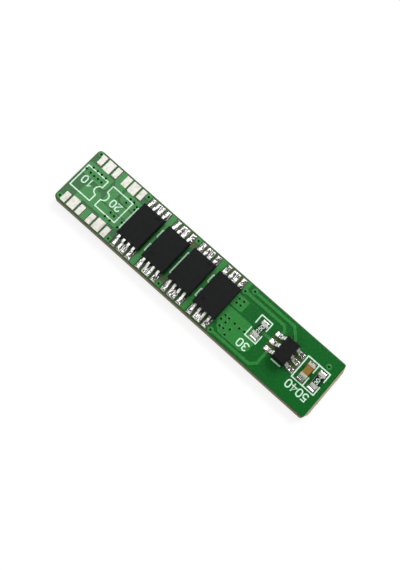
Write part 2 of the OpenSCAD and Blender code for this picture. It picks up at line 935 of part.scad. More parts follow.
laminate();
top_copper();
bottom_copper();
via_barrels();
top_mask();
bottom_mask();
legend();
open_pad_tin();
contact_pad_tin();
mosfet_body(0);  // mosfet_1_body
mosfet_body(1);  // mosfet_2_body
mosfet_body(2);  // mosfet_3_body
mosfet_body(3);  // mosfet_4_body
mosfet_leads(0);  // mosfet_1_leads
mosfet_leads(1);  // mosfet_2_leads
mosfet_leads(2);  // mosfet_3_leads
mosfet_leads(3);  // mosfet_4_leads
mosfet_solder(0);  // mosfet_1_solder
mosfet_solder(1);  // mosfet_2_solder
mosfet_solder(2);  // mosfet_3_solder
mosfet_solder(3);  // mosfet_4_solder
protector_body();
protector_leads();
protector_solder();
resistor_substrate(resistor_1_x, resistor_1_turn);  // resistor_1_substrate
resistor_film(resistor_1_x, resistor_1_turn);  // resistor_1_film
resistor_terminals(resistor_1_x, resistor_1_turn);  // resistor_1_terminals
chip_solder(resistor_1_x, resistor_1_turn, resistor_h, resistor_fillet);  // resistor_1_solder
resistor_substrate(resistor_2_x, resistor_2_turn);  // resistor_2_substrate
resistor_film(resistor_2_x, resistor_2_turn);  // resistor_2_film
resistor_terminals(resistor_2_x, resistor_2_turn);  // resistor_2_terminals
chip_solder(resistor_2_x, resistor_2_turn, resistor_h, resistor_fillet);  // resistor_2_solder
capacitor_body();
capacitor_terminals();
chip_solder(capacitor_x, 0, capacitor_h, capacitor_fillet);  // capacitor_solder
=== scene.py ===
import math
import bpy
from mathutils import Matrix, Vector


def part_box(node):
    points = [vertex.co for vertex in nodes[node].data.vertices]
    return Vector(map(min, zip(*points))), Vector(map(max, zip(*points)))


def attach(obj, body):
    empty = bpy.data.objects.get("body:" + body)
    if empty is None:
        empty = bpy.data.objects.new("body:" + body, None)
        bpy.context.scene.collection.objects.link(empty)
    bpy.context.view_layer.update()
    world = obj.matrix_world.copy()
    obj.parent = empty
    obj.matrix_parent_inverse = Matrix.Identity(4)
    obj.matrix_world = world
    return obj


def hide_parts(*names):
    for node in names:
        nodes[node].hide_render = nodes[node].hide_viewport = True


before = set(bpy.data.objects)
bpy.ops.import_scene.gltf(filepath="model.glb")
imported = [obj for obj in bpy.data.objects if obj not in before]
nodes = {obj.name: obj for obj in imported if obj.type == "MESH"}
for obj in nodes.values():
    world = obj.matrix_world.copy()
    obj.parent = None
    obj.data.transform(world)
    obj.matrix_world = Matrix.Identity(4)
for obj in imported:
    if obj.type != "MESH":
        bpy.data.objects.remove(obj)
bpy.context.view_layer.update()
scene = bpy.context.scene
mm = 0.001  # every size below is in millimetres
square = ((-1, -1), (1, -1), (1, 1), (-1, 1))
print("frame:", len(nodes), "nodes")


class Link:
    # one output socket of a node tree; a sum on it adds Math nodes to the same tree
    def __init__(self, tree, socket):
        self.tree = tree
        self.socket = socket

    def node(self, kind, settings=None, values=None, out=0):
        made = self.tree.nodes.new(kind)
        for name, value in (settings or {}).items():
            setattr(made, name, value)
        for key, value in (values or {}).items():
            if isinstance(value, Link):
                self.tree.links.new(value.socket, made.inputs[key])
            else:
                made.inputs[key].default_value = value
        return Link(self.tree, made.outputs[out])

    def maths(self, operation, *others):
        values = dict(enumerate((self,) + others))
        return self.node("ShaderNodeMath", {"operation": operation}, values)

    def vector(self, operation, values):
        return self.node("ShaderNodeVectorMath", {"operation": operation}, {0: self, **values})

    def axis(self, k):
        return self.node("ShaderNodeSeparateXYZ", None, {0: self}, k)

    def step(self, low, high):
        # smooth from 0 at low to 1 at high and level beyond them; low may be the larger one
        values = {"Value": self, "From Min": low, "From Max": high}
        return self.node("ShaderNodeMapRange", {"interpolation_type": "SMOOTHSTEP"}, values)

    def noise(self, scale, detail=2.0, stretch=(1, 1, 1)):
        place = self.vector("MULTIPLY", {1: stretch})
        values = {"Vector": place, "Scale": scale, "Detail": detail}
        return self.node("ShaderNodeTexNoise", None, values)

    def colour(self, low, high):
        # a colour between two others, with this value as the share of the second
        values = {0: self, 6: low, 7: high}
        return self.node("ShaderNodeMix", {"data_type": "RGBA"}, values, 2)

    def __add__(self, other):
        return self.maths("ADD", other)

    def __sub__(self, other):
        return self.maths("SUBTRACT", other)

    def __rsub__(self, other):
        return (self * -1) + other

    def __mul__(self, other):
        return self.maths("MULTIPLY", other)

    def __truediv__(self, other):
        return self.maths("DIVIDE", other)

    __radd__ = __add__
    __rmul__ = __mul__


camera = {
    "place": (8.77, -18.69, 80.11),
    "aim": (0.37, -0.30, 1.0),
    "upward": (-0.66, 0.713, 0.236),
    "lens": 50.5,
}


def facing(place, aim, upward):
    # a matrix at place that looks down its own -Z at aim
    back = (Vector(place) - Vector(aim)).normalized()
    right = Vector(upward).cross(back).normalized()
    turned = Matrix((right, back.cross(right), back)).transposed().to_4x4()
    return Matrix.Translation(Vector(place)*mm) @ turned


def addCamera(choice):
    lens = bpy.data.cameras.new("camera")
    lens.lens = choice["lens"]
    lens.clip_start = mm
    holder = bpy.data.objects.new("camera", lens)
    scene.collection.objects.link(holder)
    holder.matrix_world = facing(choice["place"], choice["aim"], choice["upward"])
    scene.camera = holder


addCamera(camera)

softboxes = {
    "key": {"place": (15, 110, 85), "size": (130, 80), "level": 5.6},
    "glare": {"place": (-51, 24, 90), "size": (72, 70), "level": 1.9},
    "front": {"place": (-5, -62, 82), "size": (110, 40), "level": 2.6},
    "side": {"place": (110, -20, 60), "size": (60, 60), "level": 3.0},
}


def addSoftbox(name, choice):
    # level is how bright the box is where a white card in full light is 1
    lamp = bpy.data.lights.new(name, "AREA")
    lamp.shape = "RECTANGLE"
    lamp.size = choice["size"][0]*mm
    lamp.size_y = choice["size"][1]*mm
    lamp.energy = choice["level"]*math.pi*lamp.size*lamp.size_y
    holder = bpy.data.objects.new(name, lamp)
    scene.collection.objects.link(holder)
    holder.matrix_world = facing(choice["place"], (0, 0, 0), (0, 0, 1))


for boxName, boxChoice in softboxes.items():
    addSoftbox(boxName, boxChoice)


def newSurface(name):
    # a material, its shader and the place on the board in millimetres
    material = bpy.data.materials.new(name)
    material.use_nodes = True
    tree = material.node_tree
    coordinates = tree.nodes.new("ShaderNodeTexCoord")
    place = Link(tree, coordinates.outputs["Object"]).vector("SCALE", {"Scale": 1/mm})
    return material, tree.nodes["Principled BSDF"], place


def feed(shader, values):
    for name, value in values.items():
        if isinstance(value, Link):
            value.tree.links.new(value.socket, shader.inputs[name])
        else:
            shader.inputs[name].default_value = value


# levels by direction; horizon and ground are heights on a sphere of radius 1
room = {"ceiling": 0.06, "backdrop": 0.16, "below": 0.9, "horizon": (0.15, 0.45), "ground": -0.02}


def lightRoom(choice):
    # dim all round, so that the lamps draw the gloss; white to the camera, and pale from below
    world = bpy.data.worlds.new("room")
    scene.world = world
    world.use_nodes = True
    tree = world.node_tree
    coordinates = tree.nodes.new("ShaderNodeTexCoord")
    height = Link(tree, coordinates.outputs["Generated"]).axis(2)
    isCamera = height.node("ShaderNodeLightPath")
    backdrop = choice["backdrop"]
    level = height.step(*choice["horizon"])*(choice["ceiling"] - backdrop) + backdrop
    level = level + height.maths("LESS_THAN", choice["ground"])*(choice["below"] - backdrop)
    level = level + isCamera*(1 - level)
    tree.links.new(level.socket, tree.nodes["Background"].inputs["Strength"])
    tree.nodes["Background"].inputs["Color"].default_value = (1, 1, 1, 1)


floor = {
    "reach": 400, "drop": 0.02, "fade": (22, 75), "contact": 0.3,
    "colour": (0.3, 0.3, 0.3, 1), "lift": 0.74,
    "seenBy": ("Is Camera Ray", "Is Glossy Ray", "Is Transmission Ray"),
}


def addFloor(choice):
    # white paper that keeps the shadow near the board and is plain white further out
    side = choice["reach"]*mm
    height = -choice["drop"]*mm
    mesh = bpy.data.meshes.new("floor")
    mesh.from_pydata([(x*side, y*side, height) for x, y in square], [], [(0, 1, 2, 3)])
    holder = bpy.data.objects.new("floor", mesh)
    scene.collection.objects.link(holder)
    material, shader, place = newSurface("floorPaper")
    away = place.node("ShaderNodeVectorMath", {"operation": "LENGTH"}, {0: place}, "Value")
    far = away.step(*choice["fade"])
    seen = [place.node("ShaderNodeLightPath", out=ray) for ray in choice["seenBy"]]
    lift = choice["lift"]
    glow = sum(seen).maths("MINIMUM", 1.0)*(far*(1 - lift) + lift)
    feed(shader, {"Base Color": far.colour(choice["colour"], (0, 0, 0, 1)), "Emission Color": glow})
    feed(shader, {"Emission Strength": 1.0, "Roughness": 1.0, "Specular IOR Level": 0.0})
    # the paper isn't there when seen from below, nor for a ray shorter than contact
    ray = place.node("ShaderNodeLightPath", out="Ray Length")
    short = ray.maths("LESS_THAN", choice["contact"]*mm)
    gone = place.node("ShaderNodeNewGeometry", out="Backfacing").maths("MAXIMUM", short)
    clear = place.node("ShaderNodeBsdfTransparent")
    paper = Link(place.tree, shader.outputs[0])
    shown = place.node("ShaderNodeMixShader", None, {0: gone, 1: paper, 2: clear})
    ending = place.tree.nodes["Material Output"]
    place.tree.links.new(shown.socket, ending.inputs["Surface"])
    mesh.materials.append(material)


lightRoom(room)
addFloor(floor)
scene.view_settings.view_transform = "Standard"
print("camera, lamps and floor")


def relief(height, softened=0.0):
    # a normal from a height in millimetres, with edges softened to that radius
    values = {"Strength": 1.0, "Distance": mm, "Height": height}
    if softened:
        values["Normal"] = height.node("ShaderNodeBevel", {"samples": 6}, {"Radius": softened*mm})
    return height.node("ShaderNodeBump", None, values)


def band(value, low, high, soft):
    # 1 between low and high
    return value.step(low - soft, low + soft)*(1 - value.step(high - soft, high + soft))


fluxLook = {
    "colour": (0.070, 0.085, 0.024, 1),
    "inner": 2.05, "inset": 0.1, "softAlong": 0.15, "softAcross": 0.12,
    "patches": {"scale": 2.2, "detail": 3.0}, "patchesAt": (0.3, 0.6),
}


def fluxStain(place, choice):
    # 1 where flux has dried between the pads of the MOSFETs and of the protector
    x = place.axis(0)
    y = place.axis(1)
    along = choice["softAlong"]
    across = choice["softAcross"]
    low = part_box("mosfet_1_solder")[0]/mm
    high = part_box("mosfet_4_solder")[1]/mm
    rows = band(x, low.x, high.x, along)*band(y.maths("ABSOLUTE"), choice["inner"], high.y, across)
    low, high = (corner/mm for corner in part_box("protector_solder"))
    low.y += choice["inset"]
    high.y -= choice["inset"]
    small = band(x, low.x, high.x, along)*band(y, low.y, high.y, across)
    patches = place.noise(**choice["patches"]).step(*choice["patchesAt"])
    return (rows + small).maths("MINIMUM", 1)*patches


maskLook = {
    "bare": (0.002, 0.112, 0.013, 1),
    "covered": (0.024, 0.215, 0.036, 1),
    "rise": (0.04, 0.07),
    "cloud": {"scale": 0.7, "detail": 3.0}, "cloudShade": (0.95, 0.1),
    "weave": 13.0, "weaveShade": 0.02, "weaveHeight": 0.0012,
    "peel": {"scale": 9.0}, "peelHeight": 0.004,
    "rough": 0.27, "wear": {"scale": 3.0}, "wearRough": 0.12,
    # painted shade: how far the film in a via's hole is darkened, and how rough it is there
    "holePaintedShade": 0.97, "holeRough": 0.7,
    "edge": 0.035,
}


def paintMask(name, choice, face, upward, mouth, stained):
    # face: the height of the laminate under the film; rise: how far above it the film goes from
    # bare board to copper; mouth: how far above it a via's hole begins and is fully painted dark, as
    # painted shade
    material, shader, place = newSurface(name)
    covered = place.axis(2).step(*[face + upward*rise for rise in choice["rise"]])
    hole = place.axis(2).step(*[face + upward*rise for rise in mouth])
    cloud = place.noise(**choice["cloud"])
    threads = [(place.axis(k)*choice["weave"]).maths("SINE") for k in (0, 1)]
    weave = threads[0]*threads[1]*(1 - covered)
    colour = covered.colour(choice["bare"], choice["covered"])
    if stained:
        stain = fluxStain(place, fluxLook)*(1 - covered)
        colour = stain.colour(colour, fluxLook["colour"])
    plain, clouded = choice["cloudShade"]
    # painted shade: the film in a via's hole is darkened in its colour, as if shadowed
    shade = (plain + cloud*clouded + weave*choice["weaveShade"])*(1 - hole*choice["holePaintedShade"])
    peel = place.noise(**choice["peel"])*choice["peelHeight"] + weave*choice["weaveHeight"]
    wear = (place.noise(**choice["wear"]) - 0.5)*choice["wearRough"]
    feed(shader, {
        "Base Color": colour.vector("SCALE", {"Scale": shade}),
        "Roughness": choice["rough"] + wear + hole*choice["holeRough"],
        "Normal": relief(peel, choice["edge"]),
    })
    return material


laminateLook = {
    "sawn": (0.250, 0.215, 0.105, 1),
    "fibre": (0.460, 0.400, 0.240, 1),
    "face": (0.070, 0.085, 0.030, 1),
    "broken": (0.640, 0.560, 0.400, 1),
    "plies": {"scale": 5.0, "detail": 4.0, "stretch": (0.35, 0.35, 5.0)}, "pliesAt": (0.42, 0.62),
    "flecks": {"scale": 9.0, "detail": 3.0, "stretch": (0.6, 0.6, 1.6)}, "flecksAt": (0.55, 0.72),
    "tatters": {"scale": 7.0, "detail": 4.0, "stretch": (1.0, 0.5, 2.0)},
    "lumps": {"scale": 12.0, "detail": 4.0},
    "pliesShare": 0.5, "flecksShare": 0.4,
    "pliesHeight": 0.006, "flecksHeight": 0.008, "lumpsHeight": 0.05,
    "faceDepth": (0.02, 0.004), "brokenDepth": (0.26, 0.18),
    "rough": 0.72, "flecksRough": 0.1, "edge": 0.02,
}


def paintLaminate(name, choice):
    material, shader, place = newSurface(name)
    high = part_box("laminate")[1]/mm
    plies = place.noise(**choice["plies"]).step(*choice["pliesAt"])
    flecks = place.noise(**choice["flecks"]).step(*choice["flecksAt"])
    mixed = plies*choice["pliesShare"] + flecks*choice["flecksShare"]
    colour = mixed.colour(choice["sawn"], choice["fibre"])
    onFace = place.axis(2).step(*[high.z - depth for depth in choice["faceDepth"]])
    colour = onFace.colour(colour, choice["face"])
    torn = place.axis(0).step(*[high.x - depth for depth in choice["brokenDepth"]])
    tatters = place.noise(**choice["tatters"]).colour(choice["fibre"], choice["broken"])
    height = plies*choice["pliesHeight"] + flecks*choice["flecksHeight"]
    height = height + torn*place.noise(**choice["lumps"])*choice["lumpsHeight"]
    feed(shader, {
        "Base Color": torn.colour(colour, tatters),
        "Roughness": choice["rough"] + flecks*choice["flecksRough"],
        "Normal": relief(height, choice["edge"]),
    })
    return material


metalWear = {
    "patchScale": 1.7, "patchDetail": 3.0, "wornAt": (0.5, 0.72), "wornShade": 0.86,
    "pitScale": 6, "pitShare": 0.12, "roughShare": 0.6,
}


def paintMetal(name, colour, rough, dents, scale, edge=0.0, metal=1.0):
    # dents: how deep the unevenness is; metal below 1: a matt plating that scatters light
    material, shader, place = newSurface(name)
    patches = place.noise(scale*metalWear["patchScale"], metalWear["patchDetail"])
    pits = place.noise(scale*metalWear["pitScale"])*dents*metalWear["pitShare"]
    worn = tuple(part*metalWear["wornShade"] for part in colour[:3]) + (1,)
    feed(shader, {
        "Base Color": patches.step(*metalWear["wornAt"]).colour(colour, worn),
        "Metallic": metal,
        "Roughness": rough + (patches - 0.5)*rough*metalWear["roughShare"],
        "Normal": relief(place.noise(scale)*dents + pits, edge),
    })
    return material


bodyGrain = {
    "mottle": {"scale": 2.0, "detail": 4.0}, "mottleAt": (0.35, 0.65),
    "detail": 3.0, "roughScale": 0.5, "roughSpread": 0.15,
}


def paintPlain(name, colour, second, rough, grain, scale, edge=0.0, gloss=0.5):
    # a dull or glossy body: two close colours in a mottle, and a grain in the surface
    material, shader, place = newSurface(name)
    mottle = place.noise(**bodyGrain["mottle"]).step(*bodyGrain["mottleAt"])
    uneven = place.noise(scale*bodyGrain["roughScale"]) - 0.5
    feed(shader, {
        "Base Color": mottle.colour(colour, second),
        "Roughness": rough + uneven*bodyGrain["roughSpread"],
        "Specular IOR Level": gloss,
        "Normal": relief(place.noise(scale, bodyGrain["detail"])*grain, edge),
    })
    return material


metals = {
    "copper": {"colour": (0.72, 0.38, 0.22, 1), "rough": 0.35, "dents": 0.004, "scale": 4.0},
    "levelledTin": {
        "colour": (0.645, 0.635, 0.58, 1), "rough": 0.42, "dents": 0.02, "scale": 1.6, "edge": 0.03,
    },
    "solder": {"colour": (0.90, 0.89, 0.87, 1), "rough": 0.16, "dents": 0.004, "scale": 7.0},
    # chip solder: dark brown, partly from its film of flux and partly a painted dark reflection of the
    # board around it
    "fluxedShadedSolder": {"colour": (0.19, 0.165, 0.11, 1), "rough": 0.24, "dents": 0.008, "scale": 5.0},
    "platedLead": {
        "colour": (0.86, 0.86, 0.85, 1), "rough": 0.30, "dents": 0.003, "scale": 8.0, "edge": 0.02,
    },
    "chipTerminal": {
        "colour": (0.66, 0.64, 0.58, 1), "rough": 0.40, "dents": 0.008, "scale": 5.0, "edge": 0.03,
        "metal": 0.6,
    },
    "capacitorTerminal": {
        "colour": (0.62, 0.57, 0.47, 1), "rough": 0.42, "dents": 0.008, "scale": 5.0, "edge": 0.05,
        "metal": 0.6,
    },
}
bodies = {
    "legendInk": {
        "colour": (0.58, 0.84, 0.65, 1), "second": (0.66, 0.90, 0.72, 1),
        "rough": 0.55, "grain": 0.003, "scale": 14.0,
    },
    "moulding": {
        "colour": (0.0045, 0.005, 0.005, 1), "second": (0.006, 0.0065, 0.0065, 1),
        "rough": 0.55, "grain": 0.003, "scale": 16.0, "edge": 0.04, "gloss": 0.15,
    },
    "resistorGlaze": {
        "colour": (0.006, 0.006, 0.007, 1), "second": (0.010, 0.010, 0.011, 1),
        "rough": 0.28, "grain": 0.001, "scale": 6.0, "edge": 0.02,
    },
    "alumina": {
        "colour": (0.82, 0.80, 0.76, 1), "second": (0.88, 0.86, 0.82, 1),
        "rough": 0.5, "grain": 0.002, "scale": 12.0, "edge": 0.02,
    },
    "capacitorCeramic": {
        "colour": (0.235, 0.125, 0.012, 1), "second": (0.28, 0.15, 0.018, 1),
        "rough": 0.42, "grain": 0.002, "scale": 10.0, "edge": 0.04,
    },
}
underFace, topFace = (corner.z/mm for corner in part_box("laminate"))
surfaces = {
    "laminateEdge": paintLaminate("laminateEdge", laminateLook),
    "maskTop": paintMask("maskTop", maskLook, topFace, 1, (0.01, -0.03), True),
    "maskUnder": paintMask("maskUnder", maskLook, underFace, -1, (0.0, -0.04), False),
}
for surfaceName, look in metals.items():
    surfaces[surfaceName] = paintMetal(surfaceName, **look)
for surfaceName, look in bodies.items():
    surfaces[surfaceName] = paintPlain(surfaceName, **look)

dressing = {
    "laminate": "laminateEdge", "via_barrels": "copper", "bottom_copper": "copper",
    "top_copper": "levelledTin", "open_pad_tin": "levelledTin", "contact_pad_tin": "levelledTin",
    "top_mask": "maskTop", "bottom_mask": "maskUnder", "legend": "legendInk",
    "protector_body": "moulding", "protector_leads": "platedLead",
    "capacitor_body": "capacitorCeramic", "capacitor_terminals": "capacitorTerminal",
}
for k in range(1, 5):
    dressing[f"mosfet_{k}_body"] = "moulding"
    dressing[f"mosfet_{k}_leads"] = "platedLead"
for k in (1, 2):
    dressing[f"resistor_{k}_substrate"] = "alumina"
    dressing[f"resistor_{k}_film"] = "resistorGlaze"
    dressing[f"resistor_{k}_terminals"] = "chipTerminal"


def dress(nodeName, material):
    slots = nodes[nodeName].data.materials
    slots.clear()
    slots.append(material)


for nodeName, surfaceName in dressing.items():
    dress(nodeName, surfaces[surfaceName])
print("materials:", len(surfaces))


def newTree(name, sizes):
    # a geometry tree with named inputs; gives the tree and a Link for each input
    tree = bpy.data.node_groups.new(name, "GeometryNodeTree")
    tree.interface.new_socket(name="Geometry", in_out="OUTPUT", socket_type="NodeSocketGeometry")
    tree.interface.new_socket(name="Geometry", in_out="INPUT", socket_type="NodeSocketGeometry")
    kinds = {int: "NodeSocketInt", float: "NodeSocketFloat", type(None): "NodeSocketObject"}
    for label, start in sizes.items():
        kind = kinds[type(start)]
        socket = tree.interface.new_socket(name=label, in_out="INPUT", socket_type=kind)
        if start is not None:
            socket.default_value = start
    entry = tree.nodes.new("NodeGroupInput")
    return tree, {socket.name: Link(tree, socket) for socket in entry.outputs if socket.name}


def join(tree, *parts):
    joined = tree.nodes.new("GeometryNodeJoinGeometry")
    for part in parts:
        tree.links.new(part.socket, joined.inputs[0])
    return Link(tree, joined.outputs[0])


def endTree(tree, geometry, material):
    done = geometry.node("GeometryNodeRealizeInstances", None, {0: geometry})
    done = done.node("GeometryNodeSetMaterial", None, {0: done, "Material": material})
    tree.links.new(done.socket, tree.nodes.new("NodeGroupOutput").inputs[0])


def grow(name, tree, values, start):
    # runs a tree on a start mesh and keeps what it makes as a plain mesh
    holder = bpy.data.objects.new(name, start)
    scene.collection.objects.link(holder)
    modifier = holder.modifiers.new(name, "NODES")
    modifier.node_group = tree
    for item in tree.interface.items_tree:
        if item.in_out == "INPUT" and item.name in values:
            modifier[item.identifier] = values[item.name]
    bpy.context.view_layer.update()
    graph = bpy.context.evaluated_depsgraph_get()
    made = bpy.data.meshes.new_from_object(holder.evaluated_get(graph))
    made.name = name
    holder.modifiers.remove(modifier)
    holder.data = made
    return holder


def finishPiece(piece, slotName, placed, *replaced):
    piece.data.transform(placed)
    piece.data.update()
    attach(piece, "root")
    if replaced:
        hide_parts(*replaced)


def looseBoxes(nodeName):
    # the box, in millimetres, of each separate solid of a node
    mesh = nodes[nodeName].data
    keys = [tuple(round(c/mm, 4) for c in vertex.co) for vertex in mesh.vertices]
    owner = {}

    def root(key):
        while owner.setdefault(key, key) != key:
            owner[key] = owner[owner[key]]
            key = owner[key]
        return key

    for face in mesh.polygons:
        first = root(keys[face.vertices[0]])
        for index in face.vertices[1:]:
            owner[root(keys[index])] = first
    groups = {}
    for key in set(keys):
        groups.setdefault(root(key), []).append(Vector(key))
    boxes = [(Vector(map(min, *points)), Vector(map(max, *points))) for points in groups.values()]
    return sorted(boxes, key=lambda box: tuple(box[0]))


# how the solder lies on the pads of each kind of package
mosfetSolder = {
    "Foot": 0.55, "Climb": 0.15, "Skin": 0.045, "Reach": 0.14, "Lump": 0.055, "Lump Scale": 2.6,
}
protectorSolder = {
    "Foot": 0.30, "Climb": 0.17, "Skin": 0.06, "Reach": 0.18, "Lump": 0.06, "Lump Scale": 2.2,
}
resistorSolder = {
    "Foot": 0.30, "Climb": 0.30, "Skin": 0.02, "Reach": 0.13, "Lump": 0.02, "Lump Scale": 2.0,
}
capacitorSolder = {
    "Foot": 0.30, "Climb": 0.46, "Skin": 0.02, "Reach": 0.14, "Lump": 0.03, "Lump Scale": 2.0,
}
# plate: how far the plates are raised first; upper: what is above it belongs to the pool's top;
# base: the height at a pad's rim; least: the least height inside it; heel: how much a distance
# behind the foot counts next to one beside it; apart: how far each seed moves the lumps
pool = {
    "plate": 0.001, "merge": 0.0002, "upper": 0.0005, "base": 0.004, "least": 0.012,
    "heel": 0.5, "roundness": 2.0, "lumpDetail": 1.5, "lumpMiddle": 0.42, "lumpGain": 2.0,
    "apart": 3.7, "apartShares": (1.0, 0.6, 0.3),
}


def solderTree(material):
    # raises pad-shaped plates into solder that climbs round the leads; the leads lie along Y
    sizes = {
        "Pitch": 0.65, "Shift": 0.5, "Last": 0.975, "Half": 0.135, "Toe": 3.2, "Foot": 0.55,
        "Climb": 0.15, "Skin": 0.04, "Reach": 0.14, "Lump": 0.05, "Lump Scale": 2.6, "Rim": 0.11,
        "Seed": 1, "Level": 5,
    }
    tree, size = newTree("solderPool", sizes)
    start = size["Geometry"]
    sheet = start.node("GeometryNodeSubdivideMesh", None, {0: start, "Level": size["Level"]})
    values = {0: sheet, "Individual": False, "Offset Scale": pool["plate"]}
    raised = start.node("GeometryNodeExtrudeMesh", {"mode": "FACES"}, values)
    under = start.node("GeometryNodeFlipFaces", None, {0: sheet})
    values = {0: join(tree, under, raised), "Distance": pool["merge"]}
    closed = start.node("GeometryNodeMergeByDistance", None, values)

    # how far each point is from the nearest foot
    place = start.node("GeometryNodeInputPosition")
    x = place.axis(0)
    out = place.axis(1).maths("ABSOLUTE")
    nearest = ((x/size["Pitch"] - size["Shift"]).maths("ROUND") + size["Shift"])*size["Pitch"]
    nearest = nearest.maths("MINIMUM", size["Last"]).maths("MAXIMUM", size["Last"]*-1)
    aside = ((x - nearest).maths("ABSOLUTE") - size["Half"]).maths("MAXIMUM", 0.0)
    beyond = (out - size["Toe"]).maths("MAXIMUM", 0.0)
    before = (size["Toe"] - size["Foot"] - out).maths("MAXIMUM", 0.0)*pool["heel"]
    away = (aside*aside + beyond*beyond + before*before).maths("SQRT")
    fillet = (away/size["Reach"]*-1).maths("EXPONENT")*size["Climb"]

    apart = size["Seed"]*pool["apart"]
    shift = {k: apart*share for k, share in enumerate(pool["apartShares"])}
    moved = place.vector("ADD", {1: place.node("ShaderNodeCombineXYZ", None, shift)})
    values = {"Vector": moved, "Scale": size["Lump Scale"], "Detail": pool["lumpDetail"]}
    lump = place.node("ShaderNodeTexNoise", None, values)
    lump = (lump - pool["lumpMiddle"])*pool["lumpGain"]*size["Lump"]

    # rounds the pool off towards its pad's rim
    named = {"data_type": "FLOAT_VECTOR"}
    spot = place.node("GeometryNodeInputNamedAttribute", named, {"Name": "padSpot"})
    half = place.node("GeometryNodeInputNamedAttribute", named, {"Name": "padHalf"})
    inside = [(1 - spot.axis(k).maths("ABSOLUTE"))*half.axis(k)/size["Rim"] for k in (0, 1)]
    inside = [1 - (1 - value.maths("MINIMUM", 1.0)).maths("POWER", pool["roundness"]) for value in inside]
    depth = (size["Skin"] + fillet + lump).maths("MAXIMUM", pool["least"])
    height = inside[0]*inside[1]*depth + pool["base"]
    isUpper = place.axis(2).maths("GREATER_THAN", pool["upper"])
    lift = place.node("ShaderNodeCombineXYZ", None, {2: height*isUpper})
    formed = closed.node("GeometryNodeSetPosition", None, {0: closed, "Offset": lift})
    smooth = formed.node("GeometryNodeSetShadeSmooth", None, {0: formed, "Shade Smooth": True})
    endTree(tree, smooth, material)
    return tree


solderPool = solderTree(surfaces["solder"])


def padPlates(name, boxes, centre, turned):
    # flat plates, one for each pad, about the package's centre with its leads along Y
    points = []
    spots = []
    halves = []
    for low, high in boxes:
        half = (high - low)/2
        middle = (high + low)/2 - centre
        if turned:
            half = Vector((half.y, half.x, 0))
            middle = Vector((middle.y, -middle.x, 0))
        for sx, sy in square:
            points.append((middle.x + sx*half.x, middle.y + sy*half.y, 0))
            spots.append((sx, sy, 0))
            halves.append((half.x, half.y, 0))
    mesh = bpy.data.meshes.new(name + "Plates")
    mesh.from_pydata(points, [], [tuple(range(k, k + 4)) for k in range(0, len(points), 4)])
    for label, rows in (("padSpot", spots), ("padHalf", halves)):
        held = mesh.attributes.new(label, "FLOAT_VECTOR", "POINT")
        for index, row in enumerate(rows):
            held.data[index].vector = row
    return mesh


farPitch = 100.0  # puts every point of a chip's pads nearest to the one terminal


def addSolder(name, node, sizes, held, turned=False, chip=False, seed=1):
    # held: the node whose leads or terminals the solder climbs, in two rows, one at each pad
    # line; a chip has one terminal in each row; turned: the leads lie along X on the board
    boxes = looseBoxes(node)
    leads = looseBoxes(held)
    low, high = (corner/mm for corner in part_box(held))
    centre = (low + high)/2
    centre.z = 0
    across = 1 if turned else 0
    middles = {round((lead[0][across] + lead[1][across])/2 - centre[across], 2) for lead in leads}
    places = sorted(middles)
    values = dict(sizes)
    values["Toe"] = (high - low)[1 - across]/2
    values["Half"] = min(lead[1][across] - lead[0][across] for lead in leads)/2
    values["Last"] = 0.0 if chip else places[-1]
    values["Pitch"] = farPitch if chip else places[1] - places[0]
    values["Shift"] = 0.5 if len(places) % 2 == 0 and not chip else 0.0
    values["Seed"] = seed
    piece = grow(name, solderPool, values, padPlates(name, boxes, centre, turned))
    # chip solder takes the dark solder, whose dark colour is partly flux and partly painted reflection
    if chip:
        piece.data.materials[0] = surfaces["fluxedShadedSolder"]
    centre.z = boxes[0][0].z
    turn = Matrix.Rotation(math.radians(90 if turned else 0), 4, "Z")
    finishPiece(piece, "solder", Matrix.Scale(mm, 4) @ Matrix.Translation(centre) @ turn, node)


for k in range(1, 5):
    addSolder(f"mosfet{k}Solder", f"mosfet_{k}_solder", mosfetSolder, f"mosfet_{k}_leads", seed=k)
addSolder(
    "protectorSolder", "protector_solder", protectorSolder, "protector_leads", turned=True, seed=6)
for k in (1, 2):
    addSolder(
        f"resistor{k}Solder", f"resistor_{k}_solder", resistorSolder, f"resistor_{k}_terminals",
        chip=True, seed=8 + k)
addSolder(
    "capacitorSolder", "capacitor_solder", capacitorSolder, "capacitor_terminals",
    chip=True, seed=12)
print("solder: 8 sets of pads")


collar = {
    "reach": 0.26, "crest": 0.19, "height": 0.016, "hole": 0.105, "sink": 0.16, "wall": 0.02,
    "crestSteps": 6, "throatSteps": 4, "throatShare": 0.8, "lip": 0.015, "steps": 28,
}


def lathe(name, outline, steps):
    # turns a closed outline of radius and height round Z; its points on the axis aren't repeated
    points = []
    rings = []
    for r, z in outline:
        turns = [math.tau*k/steps for k in range(steps if r else 1)]
        rings.append([len(points) + k % len(turns) for k in range(steps + 1)])
        points += [(r*math.cos(turn), r*math.sin(turn), z) for turn in turns]
    faces = []
    for ring, inward in zip(rings, rings[1:] + rings[:1]):
        for k in range(steps):
            corners = (ring[k], ring[k + 1], inward[k + 1], inward[k])
            face = tuple(dict.fromkeys(corners))
            if len(face) > 2:
                faces.append(face)
    mesh = bpy.data.meshes.new(name)
    mesh.from_pydata(points, [], faces)
    holder = bpy.data.objects.new(name, mesh)
    scene.collection.objects.link(holder)
    return holder


def collarOutline(size):
    # over the crest, down into the hole, across its plug and back under the mask
    outline = []
    for k in range(size["crestSteps"] + 1):
        angle = math.pi*k/size["crestSteps"]
        r = size["crest"] + (size["reach"] - size["crest"])*math.cos(angle)
        outline.append((r, size["height"]*math.sin(angle)))
    inner = outline[-1][0]
    for k in range(1, size["throatSteps"] + 1):
        share = k/size["throatSteps"]
        r = inner - (inner - size["hole"])*math.sin(share*math.pi/2)
        outline.append((r, -size["sink"]*share*size["throatShare"]))
    plug = -size["sink"]
    wall = size["wall"]
    outline += [(0.0, plug), (0.0, plug - wall), (size["hole"] + size["lip"], plug - wall)]
    outline += [(inner, -wall), (size["reach"], -wall)]
    return outline


